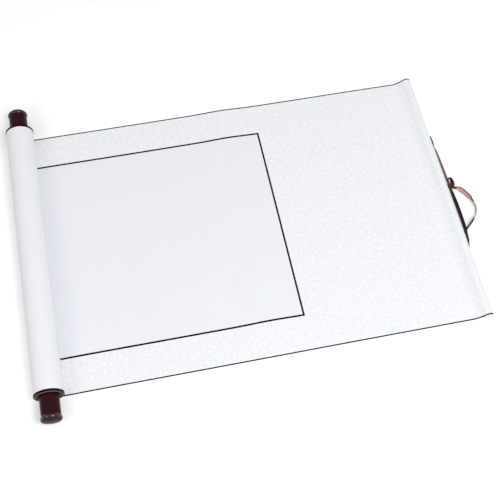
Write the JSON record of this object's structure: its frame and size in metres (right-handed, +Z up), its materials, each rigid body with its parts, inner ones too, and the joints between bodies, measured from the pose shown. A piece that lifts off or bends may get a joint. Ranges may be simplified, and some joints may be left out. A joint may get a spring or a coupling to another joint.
{
  "type": "hanging scroll",
  "caption": "Blank hanging scroll lying face up and mostly rolled up: paper heart in a silk mount, wooden top stave with ribbon, bottom roller with flanges and pull-off knobs.",
  "frame": {"origin": "centre of the underside of the box round the scroll without its ribbons, on the table", "axes": "X along the scroll's length from the bottom roll to the top stave, Y across its width, Z up from the table"},
  "size_m": [0.737, 0.546, 0.0449],
  "materials": {
    "backing": "matt white backing paper",
    "silk": "white damask silk with a soft sheen",
    "heart": "matt white paper",
    "border": "matt black",
    "binding": "dark brown, matt",
    "wood": "plain planed softwood",
    "plastic": "glossy, brown-black",
    "staple": "zinc-plated wire",
    "ribbon": "brown satin"
  },
  "bodies": {
    "scroll": {"backing_paper": "backing", "silk_mount": "silk", "heart_paper": "heart", "border_top": "border", "border_bottom": "border", "border_near": "border", "border_far": "border", "edge_binding_near": "binding", "edge_binding_far": "binding", "top_stave": "wood", "bottom_roller": "wood", "flange_near": "plastic", "flange_far": "plastic", "staple_near": "staple", "staple_far": "staple", "hanging_ribbon": "ribbon", "tie_knot": "ribbon", "tie_ribbon": "ribbon"},
    "knob_near": {"knob_near": "plastic"},
    "knob_far": {"knob_far": "plastic"}
  },
  "joints": [
    {"name": "knob_near_pull", "type": "slide", "parent": "scroll", "child": "knob_near", "axis": [0, -1, 0], "range_m": [0, 0.02]},
    {"name": "knob_far_pull", "type": "slide", "parent": "scroll", "child": "knob_far", "axis": [0, 1, 0], "range_m": [0, 0.02]}
  ]
}
